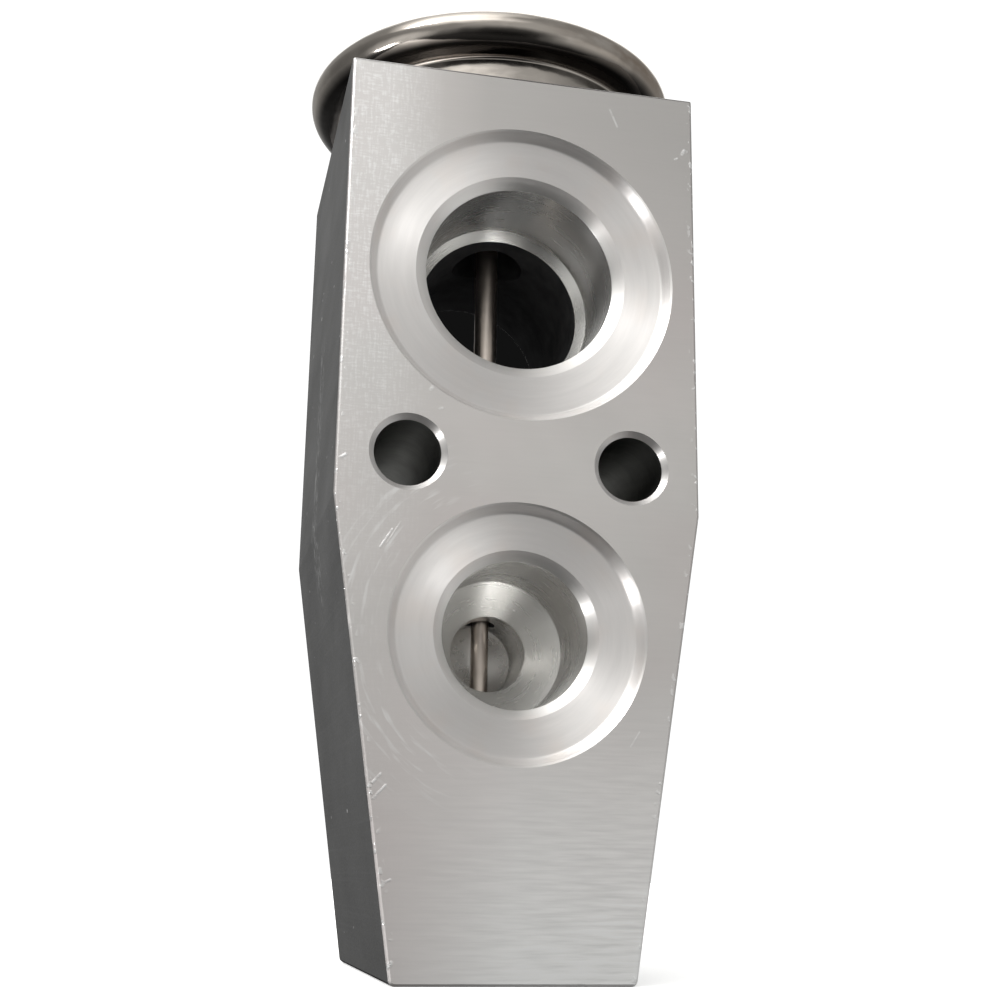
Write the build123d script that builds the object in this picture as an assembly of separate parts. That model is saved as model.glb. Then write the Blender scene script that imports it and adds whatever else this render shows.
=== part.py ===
from build123d import *
import os
from math import cos, radians, sqrt, tan

# Block-type expansion valve for a vehicle air-conditioning circuit. All sizes are in millimetres.
# X runs across the block, Y from the evaporator face (-Y) to the pipe face (+Y), Z up.
# The origin is the middle of the flat end that the valve stands on. Every axial piece is on Z.

# Extruded block
block_width = 36.4
base_width = 22.8
block_height = 90.5
shoulder_height = 44.5
block_depth = 38.0
corner_radius = 0.6
edge_break = 0.25

# Suction ports, the same on both faces, joined by one straight passage
suction_drop = 21.7
suction_seat_r = 15.6
suction_lead_in_r = 10.9
suction_bore_r = 9.75
suction_bore_depth = 11.8
suction_passage_r = 8.75

# Liquid outlet, on the evaporator face
outlet_height = 32.0
outlet_seat_r = 12.55
outlet_lead_in_r = 8.15
outlet_bore_r = 7.2
outlet_bore_depth = 12.2
outlet_passage_r = 3.95
outlet_reach = 22.0

# Liquid inlet, on the pipe face
inlet_height = 18.6
inlet_seat_r = 10.6
inlet_lead_in_r = 6.9
inlet_bore_r = 6.0
inlet_bore_depth = 8.6
inlet_passage_r = 3.9

# What the four ports share
seat_depth = 1.1
seat_wall_slant = 0.7
lead_in_depth = 0.75
port_shoulder_angle = 104.0
drill_point_angle = 118.0

# Clamping screws
screw_drop = 19.8
screw_spacing = 22.4
screw_hole_r = 3.3
screw_hole_chamfer = 0.55

# Head bore in the top of the block
neck_r = 11.0
neck_length = 9.2
neck_chamfer = 0.8
thread_clearance = 0.05
head_bore_depth = 9.6
gasket_seat_r = 13.4
gasket_seat_depth = 1.6
sensing_hole_r = 4.0

# Rod gland in the wall between the two circuits
gland_r = 3.5
gland_depth = 4.5
gland_clearance = 0.03
backup_thickness = 0.8
rod_seal_thickness = 2.0
retainer_thickness = 0.5
retainer_bore_r = 1.45
retainer_notches = 6
retainer_notch_width = 0.8

# Push rod
rod_r = 1.25
rod_tip_r = 0.95
rod_running_clearance = 0.04
rod_step_drop = 1.8
rod_end_chamfer = 0.2
relief_r = 1.6
relief_length = 6.0

# Valve seat, ball and the lift between closed and fully open
orifice_r = 2.0
orifice_length = 2.2
ball_r = 2.5
valve_lift = 0.8
lift_end_clearance = 0.05

# Ball carrier and its damper
carrier_r = 4.9
carrier_rim = 1.3
carrier_cup_depth = 1.0
carrier_chamfer = 0.4
carrier_cup_r = 2.0
carrier_spigot_r = 2.6
carrier_spigot_length = 4.6
damper_thickness = 0.25
damper_width = 2.0
damper_legs = 3
damper_clearance = 0.1

# Spring chamber and adjusting nut
chamber_r = 6.4
adjuster_thread_r = 8.0
adjuster_thread_depth = 6.7
adjuster_seal_bore_r = 7.2
adjuster_seal_bore_end = 12.4
nut_recess = 1.3
nut_thread_length = 4.2
nut_height = 9.4
nut_running_clearance = 0.06
nut_socket_flats = 8.0
nut_socket_depth = 3.7
nut_pocket_r = 4.7
nut_pocket_depth = 4.0
nut_groove_height = 6.4
nut_groove_width = 1.9
nut_groove_r = 5.8
nut_chamfer = 0.5

# Valve spring
spring_r = 3.45
spring_wire_r = 0.5
spring_turns = 5.5
spring_fit = 0.02

# Head
head_body_r = 17.1
head_body_chamfer = 0.4
head_rim_r = 20.8
flange_height = 3.5
flange_thickness = 2.0
rim_wall = 0.7
diaphragm_clearance = 0.1
diaphragm_thickness = 0.2
cover_thickness = 1.8
dome_wall = 1.2
dome_foot_r = 16.9
dome_crown_r = 13.5
dome_rise = 3.4
dome_bend_r = 1.2
flange_round = 1.9
cover_round = 1.7
cavity_r = 15.8
cavity_floor = 1.5
neck_bore_r = 8.4
stop_land_r = 10.8
corrugation_waves = 2
corrugation_depth = 0.35
corrugation_margin = 0.3
plate_r = 12.4
plate_thickness = 1.5
plate_round = 0.5
hub_r = 3.2
hub_length = 7.6
hub_socket_depth = 5.0
vent_count = 4
vent_r = 1.1
vent_circle_r = 6.2

# Fill plug on the crown of the head
plug_shank_r = 1.6
plug_head_r = 3.4
plug_head_height = 0.8
plug_tip_r = 1.3
plug_tip_height = 0.7
plug_clearance = 0.03
plug_round = 0.38

# Squeezed rings: corner radius as a share of the section's smaller side
packing_round = 0.42

# Heights that several pieces share
top = block_height
face = block_depth / 2
shoulder_slope = tan(radians(port_shoulder_angle / 2))
drill_slope = tan(radians(drill_point_angle / 2))
suction_height = top - suction_drop
screw_height = suction_height - screw_drop
head_bore_floor = top - head_bore_depth
gland_floor = suction_height - suction_passage_r - gland_depth
relief_height = outlet_height + outlet_passage_r + relief_length
rod_step = relief_height - rod_step_drop
seat_height = outlet_height - outlet_passage_r - orifice_length
ball_height = seat_height - sqrt(ball_r**2 - orifice_r**2) - valve_lift / 2
diaphragm_recess_r = head_rim_r - rim_wall
diaphragm_r = diaphragm_recess_r - diaphragm_clearance
flange_under = top + flange_height
flange_top = flange_under + flange_thickness
diaphragm_top = flange_top + diaphragm_thickness
crown_height = diaphragm_top + cover_thickness + dome_rise
plate_under = flange_top - plate_thickness
stop_land_height = plate_under - valve_lift / 2 - lift_end_clearance
hub_end = plate_under - hub_length
rod_top = hub_end + hub_socket_depth
carrier_top = ball_height - sqrt(ball_r**2 - carrier_cup_r**2) + carrier_cup_depth
spring_seat = carrier_top - carrier_rim
spring_foot = nut_recess + nut_height - nut_pocket_depth


def turned(*points):
    """A solid of revolution about Z, from (radius, height) points."""
    return revolve(make_face(Plane.XZ * Polyline(*points, close=True)), Axis.Z)


def ring(inner_r, outer_r, low, high):
    """A plain ring about Z between two heights."""
    return turned((inner_r, low), (outer_r, low), (outer_r, high), (inner_r, high))


def packing(inner_r, outer_r, low, high):
    """A squeezed O-ring: flat where it bears, fully round inside and outside."""
    radius = min(high - low, outer_r - inner_r) * packing_round
    middle = ((inner_r + outer_r) / 2, (low + high) / 2)
    section = Location((*middle, 0)) * RectangleRounded(outer_r - inner_r, high - low, radius)
    return revolve(Plane.XZ * section, Axis.Z)


def circle_edges(solid, radius, height):
    """The circular edges about Z with this radius at this height."""
    found = solid.edges().filter_by(GeomType.CIRCLE)
    return found.filter_by(
        lambda edge: abs(edge.radius - radius) < 1e-3 and abs(edge.arc_center.Z - height) < 1e-3
    )


def facing(height, side):
    """A plane on the evaporator face (side -1) or the pipe face (side 1), pointing into the block."""
    return Plane(origin=(0, side * face, height), x_dir=(-side, 0, 0), z_dir=(0, -side, 0))


def port_cut(seat_r, lead_in_r, bore_r, bore_depth, passage_r, reach):
    """Seat recess, lead-in chamfer, pipe bore, drilled shoulder and passage, as one turned cutter."""
    shoulder = bore_depth + (bore_r - passage_r) / shoulder_slope
    return turned(
        (0, -1),
        (seat_r, -1),
        (seat_r, 0),
        (seat_r - seat_wall_slant, seat_depth),
        (lead_in_r, seat_depth),
        (bore_r, seat_depth + lead_in_depth),
        (bore_r, bore_depth),
        (passage_r, shoulder),
        (passage_r, reach),
        (0, reach + passage_r / drill_slope),
    )


def screw_hole_cut():
    """A clearance hole through the block, chamfered at both mouths, about Z."""
    mouth = screw_hole_r + screw_hole_chamfer
    return turned(
        (0, -face - 1),
        (mouth, -face - 1),
        (mouth, -face),
        (screw_hole_r, -face + screw_hole_chamfer),
        (screw_hole_r, face - screw_hole_chamfer),
        (mouth, face),
        (mouth, face + 1),
        (0, face + 1),
    )


def top_bore_cut():
    """Everything cut from the top: gasket seat, head thread, sensing hole, gland and rod guide."""
    thread_r = neck_r + thread_clearance
    guide_r = rod_r + rod_running_clearance
    return turned(
        (0, top + 1),
        (gasket_seat_r, top + 1),
        (gasket_seat_r, top - gasket_seat_depth),
        (thread_r, top - gasket_seat_depth),
        (thread_r, head_bore_floor),
        (sensing_hole_r, head_bore_floor),
        (sensing_hole_r, suction_height),
        (gland_r, suction_height),
        (gland_r, gland_floor),
        (guide_r, gland_floor),
        (guide_r, relief_height),
        (0, relief_height),
    )


def bottom_bore_cut():
    """Everything cut from the base: adjuster thread, seal bore, spring chamber, orifice and relief."""
    cone_foot = seat_height - (chamber_r - orifice_r) / drill_slope
    return turned(
        (0, -1),
        (adjuster_thread_r + nut_chamfer, -1),
        (adjuster_thread_r + nut_chamfer, 0),
        (adjuster_thread_r, nut_chamfer),
        (adjuster_thread_r, adjuster_thread_depth),
        (adjuster_seal_bore_r, adjuster_thread_depth),
        (adjuster_seal_bore_r, adjuster_seal_bore_end),
        (chamber_r, adjuster_seal_bore_end),
        (chamber_r, cone_foot),
        (orifice_r, seat_height),
        (orifice_r, outlet_height),
        (relief_r, outlet_height),
        (relief_r, relief_height),
        (0, relief_height),
    )


def block_blank():
    """The extruded block: parallel above the shoulder, tapering to the base, edges broken."""
    outline = Polyline(
        (-base_width / 2, 0),
        (base_width / 2, 0),
        (block_width / 2, shoulder_height),
        (block_width / 2, block_height),
        (-block_width / 2, block_height),
        (-block_width / 2, shoulder_height),
        close=True,
    )
    profile = make_face(outline)
    profile = fillet(profile.vertices().filter_by(lambda v: v.Y < top - 1), corner_radius)
    blank = extrude(Plane.XZ * profile, block_depth / 2, both=True)
    rims = blank.faces().filter_by(Axis.Y).edges()
    return chamfer(rims, edge_break)


def valve_body():
    """The block with its ports, screw holes and the stepped bore along its length."""
    suction = port_cut(
        suction_seat_r, suction_lead_in_r, suction_bore_r, suction_bore_depth, suction_passage_r, face
    )
    outlet = port_cut(
        outlet_seat_r, outlet_lead_in_r, outlet_bore_r, outlet_bore_depth, outlet_passage_r, outlet_reach
    )
    inlet = port_cut(
        inlet_seat_r, inlet_lead_in_r, inlet_bore_r, inlet_bore_depth, inlet_passage_r, face - chamber_r / 2
    )
    body = block_blank()
    for side in (-1, 1):
        body -= facing(suction_height, side) * suction
    body -= facing(outlet_height, -1) * outlet
    body -= facing(inlet_height, 1) * inlet
    for side in (-1, 1):
        across = Plane(origin=(side * screw_spacing / 2, 0, screw_height), z_dir=(0, 1, 0))
        body -= across * screw_hole_cut()
    return body - top_bore_cut() - bottom_bore_cut()


def head_housing():
    """Lower half of the head: threaded neck, round body, stop land and clamping flange."""
    housing = turned(
        (neck_bore_r, top - neck_length),
        (neck_r - neck_chamfer, top - neck_length),
        (neck_r, top - neck_length + neck_chamfer),
        (neck_r, top),
        (head_body_r, top),
        (head_body_r, flange_under),
        (head_rim_r, flange_under),
        (head_rim_r, flange_top),
        (cavity_r, flange_top),
        (cavity_r, top + cavity_floor),
        (stop_land_r, top + cavity_floor),
        (stop_land_r, stop_land_height),
        (neck_bore_r, stop_land_height),
    )
    housing = fillet(circle_edges(housing, head_body_r, flange_under), head_body_chamfer)
    housing = chamfer(circle_edges(housing, head_body_r, top), head_body_chamfer)
    return fillet(circle_edges(housing, head_rim_r, flange_under), flange_round)


def head_cover():
    """Upper half of the head: a dome, a rim that closes round the diaphragm, a hole for the plug."""
    flange_face = diaphragm_top + cover_thickness
    wall_shift = dome_wall / cos(radians(45))
    cover = turned(
        (plug_shank_r + plug_clearance, crown_height - dome_wall),
        (dome_crown_r - wall_shift / 2, crown_height - dome_wall),
        (dome_foot_r - wall_shift, flange_face),
        (dome_foot_r - wall_shift / 2, diaphragm_top),
        (diaphragm_recess_r, diaphragm_top),
        (diaphragm_recess_r, flange_top),
        (head_rim_r, flange_top),
        (head_rim_r, flange_face),
        (dome_foot_r, flange_face),
        (dome_crown_r, crown_height),
        (plug_shank_r + plug_clearance, crown_height),
    )
    cover = fillet(circle_edges(cover, dome_crown_r, crown_height), dome_wall + dome_bend_r)
    cover = fillet(circle_edges(cover, dome_foot_r, flange_face), dome_bend_r)
    return fillet(circle_edges(cover, head_rim_r, flange_face), cover_round)


def diaphragm():
    """The thin disc clamped between the two halves of the head, with a corrugated ring."""
    wave_start = plate_r + corrugation_margin
    wave_end = cavity_r - corrugation_margin
    half_wave = (wave_end - wave_start) / (2 * corrugation_waves)
    folds = [(0, 0), (wave_start, 0)]
    for index in range(2 * corrugation_waves):
        swing = corrugation_depth / 2 * (1 if index % 2 else -1)
        folds.append((wave_start + (index + 0.5) * half_wave, swing))
    folds += [(wave_end, 0), (diaphragm_r, 0)]
    under = [(radius, flange_top + lift) for radius, lift in folds]
    over = [(radius, diaphragm_top + lift) for radius, lift in reversed(folds)]
    return turned(*under, *over)


def diaphragm_plate():
    """Plate under the diaphragm, with the hub that holds the rod and vents for suction pressure."""
    plate = turned(
        (0, rod_top),
        (rod_r + gland_clearance, rod_top),
        (rod_r + gland_clearance, hub_end),
        (hub_r, hub_end),
        (hub_r, plate_under),
        (plate_r, plate_under),
        (plate_r, flange_top),
        (0, flange_top),
    )
    plate = fillet(circle_edges(plate, plate_r, plate_under), plate_round)
    plate = fillet(circle_edges(plate, hub_r, plate_under), plate_round)
    vents = Location((0, 0, plate_under)) * PolarLocations(vent_circle_r, vent_count)
    drill = Cylinder(vent_r, 3 * plate_thickness)
    return plate - [place * drill for place in vents]


def fill_plug():
    """Welded plug that closes the charging hole in the crown of the head."""
    plug = turned(
        (0, crown_height - dome_wall),
        (plug_shank_r, crown_height - dome_wall),
        (plug_shank_r, crown_height),
        (plug_head_r, crown_height),
        (plug_head_r, crown_height + plug_head_height),
        (plug_tip_r, crown_height + plug_head_height),
        (plug_tip_r, crown_height + plug_head_height + plug_tip_height),
        (0, crown_height + plug_head_height + plug_tip_height),
    )
    plug = fillet(circle_edges(plug, plug_head_r, crown_height + plug_head_height), plug_round)
    tip = circle_edges(plug, plug_tip_r, crown_height + plug_head_height + plug_tip_height)
    return fillet(tip, plug_round / 2)


def push_rod():
    """The rod from the diaphragm plate through both circuits to the ball, with a slimmer tip."""
    rod = turned(
        (0, ball_height),
        (rod_tip_r, ball_height),
        (rod_tip_r, rod_step),
        (rod_r, rod_step + rod_r - rod_tip_r),
        (rod_r, rod_top - rod_end_chamfer),
        (rod_r - rod_end_chamfer, rod_top),
        (0, rod_top),
    )
    return rod - valve_ball()


def valve_ball():
    """The ball that closes the orifice from below."""
    return Location((0, 0, ball_height)) * Sphere(ball_r)


def ball_carrier():
    """Cupped carrier under the ball, with the rim that the spring pushes and a spigot inside it."""
    spigot_end = spring_seat - carrier_spigot_length
    carrier = turned(
        (0, spigot_end),
        (carrier_spigot_r - nut_chamfer, spigot_end),
        (carrier_spigot_r, spigot_end + nut_chamfer),
        (carrier_spigot_r, spring_seat),
        (carrier_r, spring_seat),
        (carrier_r, carrier_top),
        (0, carrier_top),
    )
    carrier = chamfer(circle_edges(carrier, carrier_r, carrier_top), carrier_chamfer)
    return carrier - valve_ball()


def damper():
    """Three-legged spring clip on the carrier's rim, which steadies the ball against the chamber."""
    clip = ring(carrier_r, carrier_r + damper_thickness, spring_seat, carrier_top - carrier_chamfer)
    tip_r = chamber_r - damper_clearance
    leg_length = tip_r - carrier_r
    for place in PolarLocations((tip_r + carrier_r) / 2, damper_legs, start_angle=90):
        leg = Box(leg_length, damper_width, damper_thickness)
        lift = Location((0, 0, spring_seat + damper_thickness / 2))
        foot = Location((leg_length / 2 - damper_thickness / 2, 0, -damper_width / 2))
        clip += lift * place * (leg + foot * Box(damper_thickness, damper_width, damper_width))
    return clip & ring(carrier_r, tip_r, spring_seat - 2 * damper_width, carrier_top)


def valve_spring():
    """Round-wire compression spring with ground ends, between the nut and the ball carrier."""
    low = spring_foot + spring_fit
    high = spring_seat - spring_fit
    pitch = (high - low) / spring_turns
    coil = Helix(pitch, high - low, spring_r, center=(0, 0, low))
    wire = sweep(Plane(origin=coil @ 0, z_dir=coil % 0) * Circle(spring_wire_r), path=coil, is_frenet=True)
    outer = spring_r + spring_wire_r + spring_fit
    return wire & ring(spring_r - spring_wire_r - spring_fit, outer, low, high)


def adjusting_nut():
    """Threaded plug in the base that sets the spring, with a hexagon socket and a seal groove."""
    thread_r = adjuster_thread_r - nut_running_clearance
    land_r = adjuster_seal_bore_r - nut_running_clearance
    shoulder = nut_recess + nut_thread_length
    nut_top = nut_recess + nut_height
    groove_low = nut_recess + nut_groove_height
    groove_high = groove_low + nut_groove_width
    nut = turned(
        (0, nut_recess),
        (thread_r - nut_chamfer, nut_recess),
        (thread_r, nut_recess + nut_chamfer),
        (thread_r, shoulder),
        (land_r, shoulder),
        (land_r, groove_low),
        (nut_groove_r, groove_low),
        (nut_groove_r, groove_high),
        (land_r, groove_high),
        (land_r, nut_top),
        (nut_pocket_r, nut_top),
        (nut_pocket_r, spring_foot),
        (0, spring_foot),
    )
    socket = extrude(RegularPolygon(nut_socket_flats / 2, 6, major_radius=False), nut_socket_depth)
    return nut - Location((0, 0, nut_recess)) * socket


def adjuster_seal():
    """Ring that seals the adjusting nut in its smooth bore and travels up and down with it."""
    groove_low = nut_recess + nut_groove_height
    return packing(
        nut_groove_r + nut_running_clearance / 2,
        adjuster_seal_bore_r - nut_running_clearance / 2,
        groove_low,
        groove_low + nut_groove_width,
    )


def rod_seal():
    """Ring that seals the rod between the liquid and the suction circuits."""
    low = gland_floor + backup_thickness
    return packing(rod_r + gland_clearance, gland_r - gland_clearance, low, low + rod_seal_thickness)


def seal_washer(low):
    """A hard washer that fills the gland beside the rod seal."""
    return ring(rod_r + rod_running_clearance, gland_r - gland_clearance, low, low + backup_thickness)


def backup_washer():
    """Hard washer that the rod seal lies on."""
    return seal_washer(gland_floor)


def upper_washer():
    """Hard washer between the rod seal and its retainer."""
    return seal_washer(gland_floor + backup_thickness + rod_seal_thickness)


def seal_retainer():
    """Notched push-in washer that holds the rod seal and its washers down."""
    low = gland_floor + 2 * backup_thickness + rod_seal_thickness
    retainer = ring(retainer_bore_r, gland_r - gland_clearance, low, low + retainer_thickness)
    notch = Box(retainer_notch_width, retainer_notch_width, 4 * retainer_thickness)
    places = Location((0, 0, low)) * PolarLocations(gland_r, retainer_notches)
    return retainer - [place * notch for place in places]


def head_gasket():
    """Ring that seals the neck of the head in the mouth of the block."""
    inner_r = neck_r + gland_clearance
    return packing(inner_r, gasket_seat_r - gland_clearance, top - gasket_seat_depth, top)


pieces = {
    "valve_body": valve_body,
    "head_housing": head_housing,
    "head_cover": head_cover,
    "diaphragm": diaphragm,
    "diaphragm_plate": diaphragm_plate,
    "fill_plug": fill_plug,
    "head_gasket": head_gasket,
    "push_rod": push_rod,
    "rod_seal": rod_seal,
    "backup_washer": backup_washer,
    "upper_washer": upper_washer,
    "seal_retainer": seal_retainer,
    "valve_ball": valve_ball,
    "ball_carrier": ball_carrier,
    "damper": damper,
    "valve_spring": valve_spring,
    "adjusting_nut": adjusting_nut,
    "adjuster_seal": adjuster_seal,
}

os.makedirs("parts", exist_ok=True)
for name, make in pieces.items():
    export_step(make(), f"parts/{name}.step")
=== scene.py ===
import math

import bmesh
import bpy
from bpy.props import FloatProperty, FloatVectorProperty, IntProperty, PointerProperty
from mathutils import Matrix, Vector, noise


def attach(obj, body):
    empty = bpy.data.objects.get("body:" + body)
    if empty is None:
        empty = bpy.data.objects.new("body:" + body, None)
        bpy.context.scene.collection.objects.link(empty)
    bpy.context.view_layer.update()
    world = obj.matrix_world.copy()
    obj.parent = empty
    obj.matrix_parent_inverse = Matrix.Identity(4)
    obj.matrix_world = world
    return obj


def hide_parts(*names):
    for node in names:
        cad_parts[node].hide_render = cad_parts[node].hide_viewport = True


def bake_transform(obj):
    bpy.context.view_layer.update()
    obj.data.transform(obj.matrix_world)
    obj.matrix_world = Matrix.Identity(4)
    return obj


bl_info = {
    "name": "Block Expansion Valve",
    "version": (1, 0, 0),
    "blender": (4, 5, 0),
    "location": "3D View > Sidebar > Valve",
    "description": "Dresses a block-type expansion valve with a milled block and a stainless head",
    "category": "Object",
}

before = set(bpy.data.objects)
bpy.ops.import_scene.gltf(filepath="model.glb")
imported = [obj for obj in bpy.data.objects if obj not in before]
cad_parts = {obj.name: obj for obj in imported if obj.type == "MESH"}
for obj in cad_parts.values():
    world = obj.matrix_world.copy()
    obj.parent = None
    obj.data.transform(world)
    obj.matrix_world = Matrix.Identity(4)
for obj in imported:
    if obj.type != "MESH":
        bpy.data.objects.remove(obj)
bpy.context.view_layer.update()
MM = 0.001
TURNED_STEPS = 192
OUTLINE_STEP = 0.35 * MM
DRILL_ANGLE = math.radians(59)
SHOULDER_ANGLE = math.radians(52)
WHITE = (1.0, 1.0, 1.0)
MILLED, EXTRUDED, SHADED_PASSAGE, SUCTION, OUTLET, INLET, SCREW_MOUTH, DRILLED = range(8)

CAMERA_PLACE = Vector((-0.03132, -0.15259, 0.00935))
CAMERA_AHEAD = Vector((0.2066, 0.9457, 0.2508))
CAMERA_UP = Vector((-0.0693, -0.2415, 0.9679))
VALVE_MIDDLE = Vector((0, 0, 0.05))
FLOOR_RADIUS = 6.0


# Properties

def length(name, description, value_mm):
    """A length property whose default is given in millimetres."""
    value = value_mm * MM
    return FloatProperty(name=name, description=description, default=value, unit="LENGTH", precision=5)


def level(name, description, value, unit="NONE"):
    """A brightness, a power or another plain number."""
    return FloatProperty(name=name, description=description, default=value, unit=unit)


def tint(name, description, value):
    """A linear colour property."""
    return FloatVectorProperty(
        name=name, description=description, default=value, subtype="COLOR", min=0, max=1,
    )


class BlockSizes(bpy.types.PropertyGroup):
    """Sizes of the extruded block and of the bore along its length."""
    width: length("Width", "Across the block above the shoulder", 36.4)
    base_width: length("Base width", "Across the block at its base", 22.8)
    height: length("Height", "From the base to the top face", 90.5)
    shoulder: length("Shoulder height", "Where the taper begins", 44.5)
    depth: length("Depth", "Between the two milled faces", 38.0)
    corner: length("Corner radius", "Round of the extruded corners", 0.6)
    edge_break: length("Edge break", "Chamfer round the milled faces", 0.25)
    nick: length("Nick depth", "Deepest dent along the milled edges", 0.22)
    head_bore: length("Head bore radius", "Threaded bore under the head", 11.05)
    head_floor: length("Head bore floor", "Height of that bore's floor", 80.9)
    gasket_seat: length("Gasket seat radius", "Recess for the head gasket", 13.4)
    gasket_depth: length("Gasket seat depth", "Depth of that recess", 1.6)
    sensing_hole: length("Sensing hole radius", "Hole from the suction passage to the head", 4.0)
    gland: length("Gland radius", "Pocket of the rod seal", 3.5)
    gland_floor: length("Gland floor", "Height of that pocket's floor", 55.55)
    guide: length("Guide radius", "Bore that guides the rod", 1.29)
    relief: length("Relief radius", "Wider bore round the rod's tip", 1.6)
    relief_top: length("Relief top", "Height where that bore ends", 41.95)
    orifice: length("Orifice radius", "Bore that the ball closes", 2.0)
    seat: length("Seat height", "Height of the orifice's lower edge", 25.85)
    chamber: length("Chamber radius", "Bore round the spring", 6.4)
    seal_bore: length("Seal bore radius", "Smooth bore for the adjuster seal", 7.2)
    seal_bore_end: length("Seal bore end", "Height where that bore ends", 12.4)
    thread_bore: length("Thread bore radius", "Threaded bore for the adjusting nut", 8.0)
    thread_end: length("Thread end", "Height where that bore ends", 6.7)
    screw_hole: length("Screw hole radius", "Clearance for the clamping screws", 3.3)
    screw_height: length("Screw height", "Height of both screw holes", 49.0)
    screw_spacing: length("Screw spacing", "Between the two screw holes", 22.4)
    screw_chamfer: length("Screw hole chamfer", "Chamfer at each mouth", 0.55)


class PortSizes(bpy.types.PropertyGroup):
    """Sizes of one kind of port, from its seat recess inwards."""
    height: length("Height", "Height of the port's axis", 0)
    seat: length("Seat radius", "Radius of the recess", 0)
    lead_in: length("Lead-in radius", "Chamfer's outer radius", 0)
    bore: length("Bore radius", "Radius of the pipe bore", 0)
    bore_end: length("Bore depth", "Depth of that bore", 0)
    passage: length("Passage radius", "Radius further in", 0)
    reach: length("Reach", "Depth of the passage", 0)


class HeadSizes(bpy.types.PropertyGroup):
    """Sizes of the stainless head on top of the block."""
    neck: length("Neck radius", "Threaded neck in the block", 11.0)
    neck_length: length("Neck length", "How far the neck reaches down", 9.2)
    neck_bore: length("Neck bore radius", "Inside the neck", 8.4)
    body: length("Body radius", "Round body under the flange", 17.1)
    rim: length("Rim radius", "Outer edge of the head", 20.8)
    flange_under: length("Flange underside", "Height of the flange's underside", 94.0)
    flange_top: length("Flange top", "Height of the joint with the cover", 96.0)
    cavity: length("Cavity radius", "Room for the diaphragm plate", 15.8)
    cavity_floor: length("Cavity floor", "Height of that room's floor", 92.0)
    stop_land: length("Stop land radius", "Ring that the plate lands on", 10.8)
    stop_height: length("Stop land height", "Height of that ring", 94.05)
    cover_under: length("Cover underside", "Height of the cover's clamped face", 96.2)
    cover_top: length("Cover flange top", "Height of the cover's flange", 98.0)
    crown: length("Crown height", "Top of the dome", 101.4)
    rim_round: length("Rim round", "Round of the welded rim, above and below", 1.95)
    recess: length("Diaphragm recess radius", "Recess in the cover that holds the diaphragm", 20.1)
    dome_foot: length("Dome foot radius", "Where the dome leaves the flange", 16.9)
    dome_crown: length("Dome crown radius", "Where the dome turns flat", 13.5)
    wall: length("Dome wall", "Thickness of the dome", 1.2)
    plug_hole: length("Plug hole radius", "Hole under the fill plug", 1.63)


class NutSizes(bpy.types.PropertyGroup):
    """Sizes of the adjusting nut in the base."""
    foot: length("Foot height", "How far the nut sits in from the base", 1.3)
    thread: length("Thread radius", "Crests of the nut's thread", 7.94)
    thread_depth: length("Thread depth", "Depth of the nut's thread", 0.45)
    pitch: length("Thread pitch", "Distance between turns", 1.0)
    shoulder: length("Shoulder height", "Where the thread ends", 5.5)
    land: length("Seal land radius", "Above and below the seal groove", 7.14)
    groove: length("Groove radius", "Bottom of the seal groove", 5.8)
    groove_low: length("Groove foot", "Lower wall of the groove", 7.7)
    groove_high: length("Groove top", "Upper wall of the groove", 9.6)
    top: length("Top height", "Upper end of the nut", 10.7)
    pocket: length("Pocket radius", "Pocket that holds the spring", 4.7)
    pocket_floor: length("Pocket floor", "Where the spring stands", 6.7)
    flats: length("Socket flats", "Across the hexagon socket", 8.0)
    socket: length("Socket depth", "Depth of the hexagon socket", 3.7)


class SpringSizes(bpy.types.PropertyGroup):
    """Sizes of the valve spring."""
    radius: length("Coil radius", "To the middle of the wire", 3.45)
    wire: length("Wire radius", "Radius of the round wire", 0.5)
    low: length("Foot", "Height of the lower end", 6.72)
    high: length("Top", "Height of the upper end", 22.13)
    turns: FloatProperty(name="Turns", description="Turns between the ends", default=5.5, min=1, max=20)


class Finishes(bpy.types.PropertyGroup):
    """Colours of the metals and rubber."""
    milled: tint("Milled aluminium", "Faces cut by the milling cutter", (0.66, 0.638, 0.622))
    turned: tint("Turned aluminium", "Seats and bores of the ports", (0.87, 0.845, 0.832))
    # The near-black colour of the deep passages and bores is painted shade.
    bored: tint("Bored aluminium", "Deep passages, dulled by oil", (0.075, 0.075, 0.078))
    # The sides' dark colour is partly the duller extruded skin and partly painted shade.
    extruded: tint("Extruded aluminium", "Sides left dark by the die", (0.125, 0.125, 0.126))
    stainless: tint("Stainless steel", "Head of the valve", (0.45, 0.415, 0.38))
    heat: tint("Heat tint", "Straw brown beside the rim weld", (0.26, 0.19, 0.135))
    rod: tint("Ground steel", "Rod, ball and carrier", (0.70, 0.62, 0.56))
    wire: tint("Spring steel", "Spring, damper and retainer", (0.36, 0.35, 0.34))
    brass: tint("Brass", "Adjusting nut", (0.66, 0.48, 0.22))
    rubber: tint("Rubber", "Seals", (0.02, 0.02, 0.022))


class StageSettings(bpy.types.PropertyGroup):
    """Camera, backdrop and lights."""
    lens: level("Focal length", "In millimetres on a 36 mm sensor", 52.624)
    pale: tint("Backdrop", "Colour of the floor and of the air behind", (0.95, 0.95, 0.95))
    key: level("Key light", "Power of the upper left light", 0.5, "POWER")
    glint: level("Glint light", "Power of the small low light", 0.25, "POWER")
    window: level("Window", "Brightness of the window at the upper left", 1.7)
    ceiling: level("Ceiling", "Brightness of the lamps overhead", 1.6)
    table: level("Table", "Brightness of the lit table at the lower right", 0.5)
    low: level("Low lamp", "Brightness of the small lamp at the lower left", 0.7)
    room: level("Room", "Brightness of the rest of the room", 0.40)
    seed: IntProperty(name="Seed", description="Start of everything random", default=7)


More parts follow.
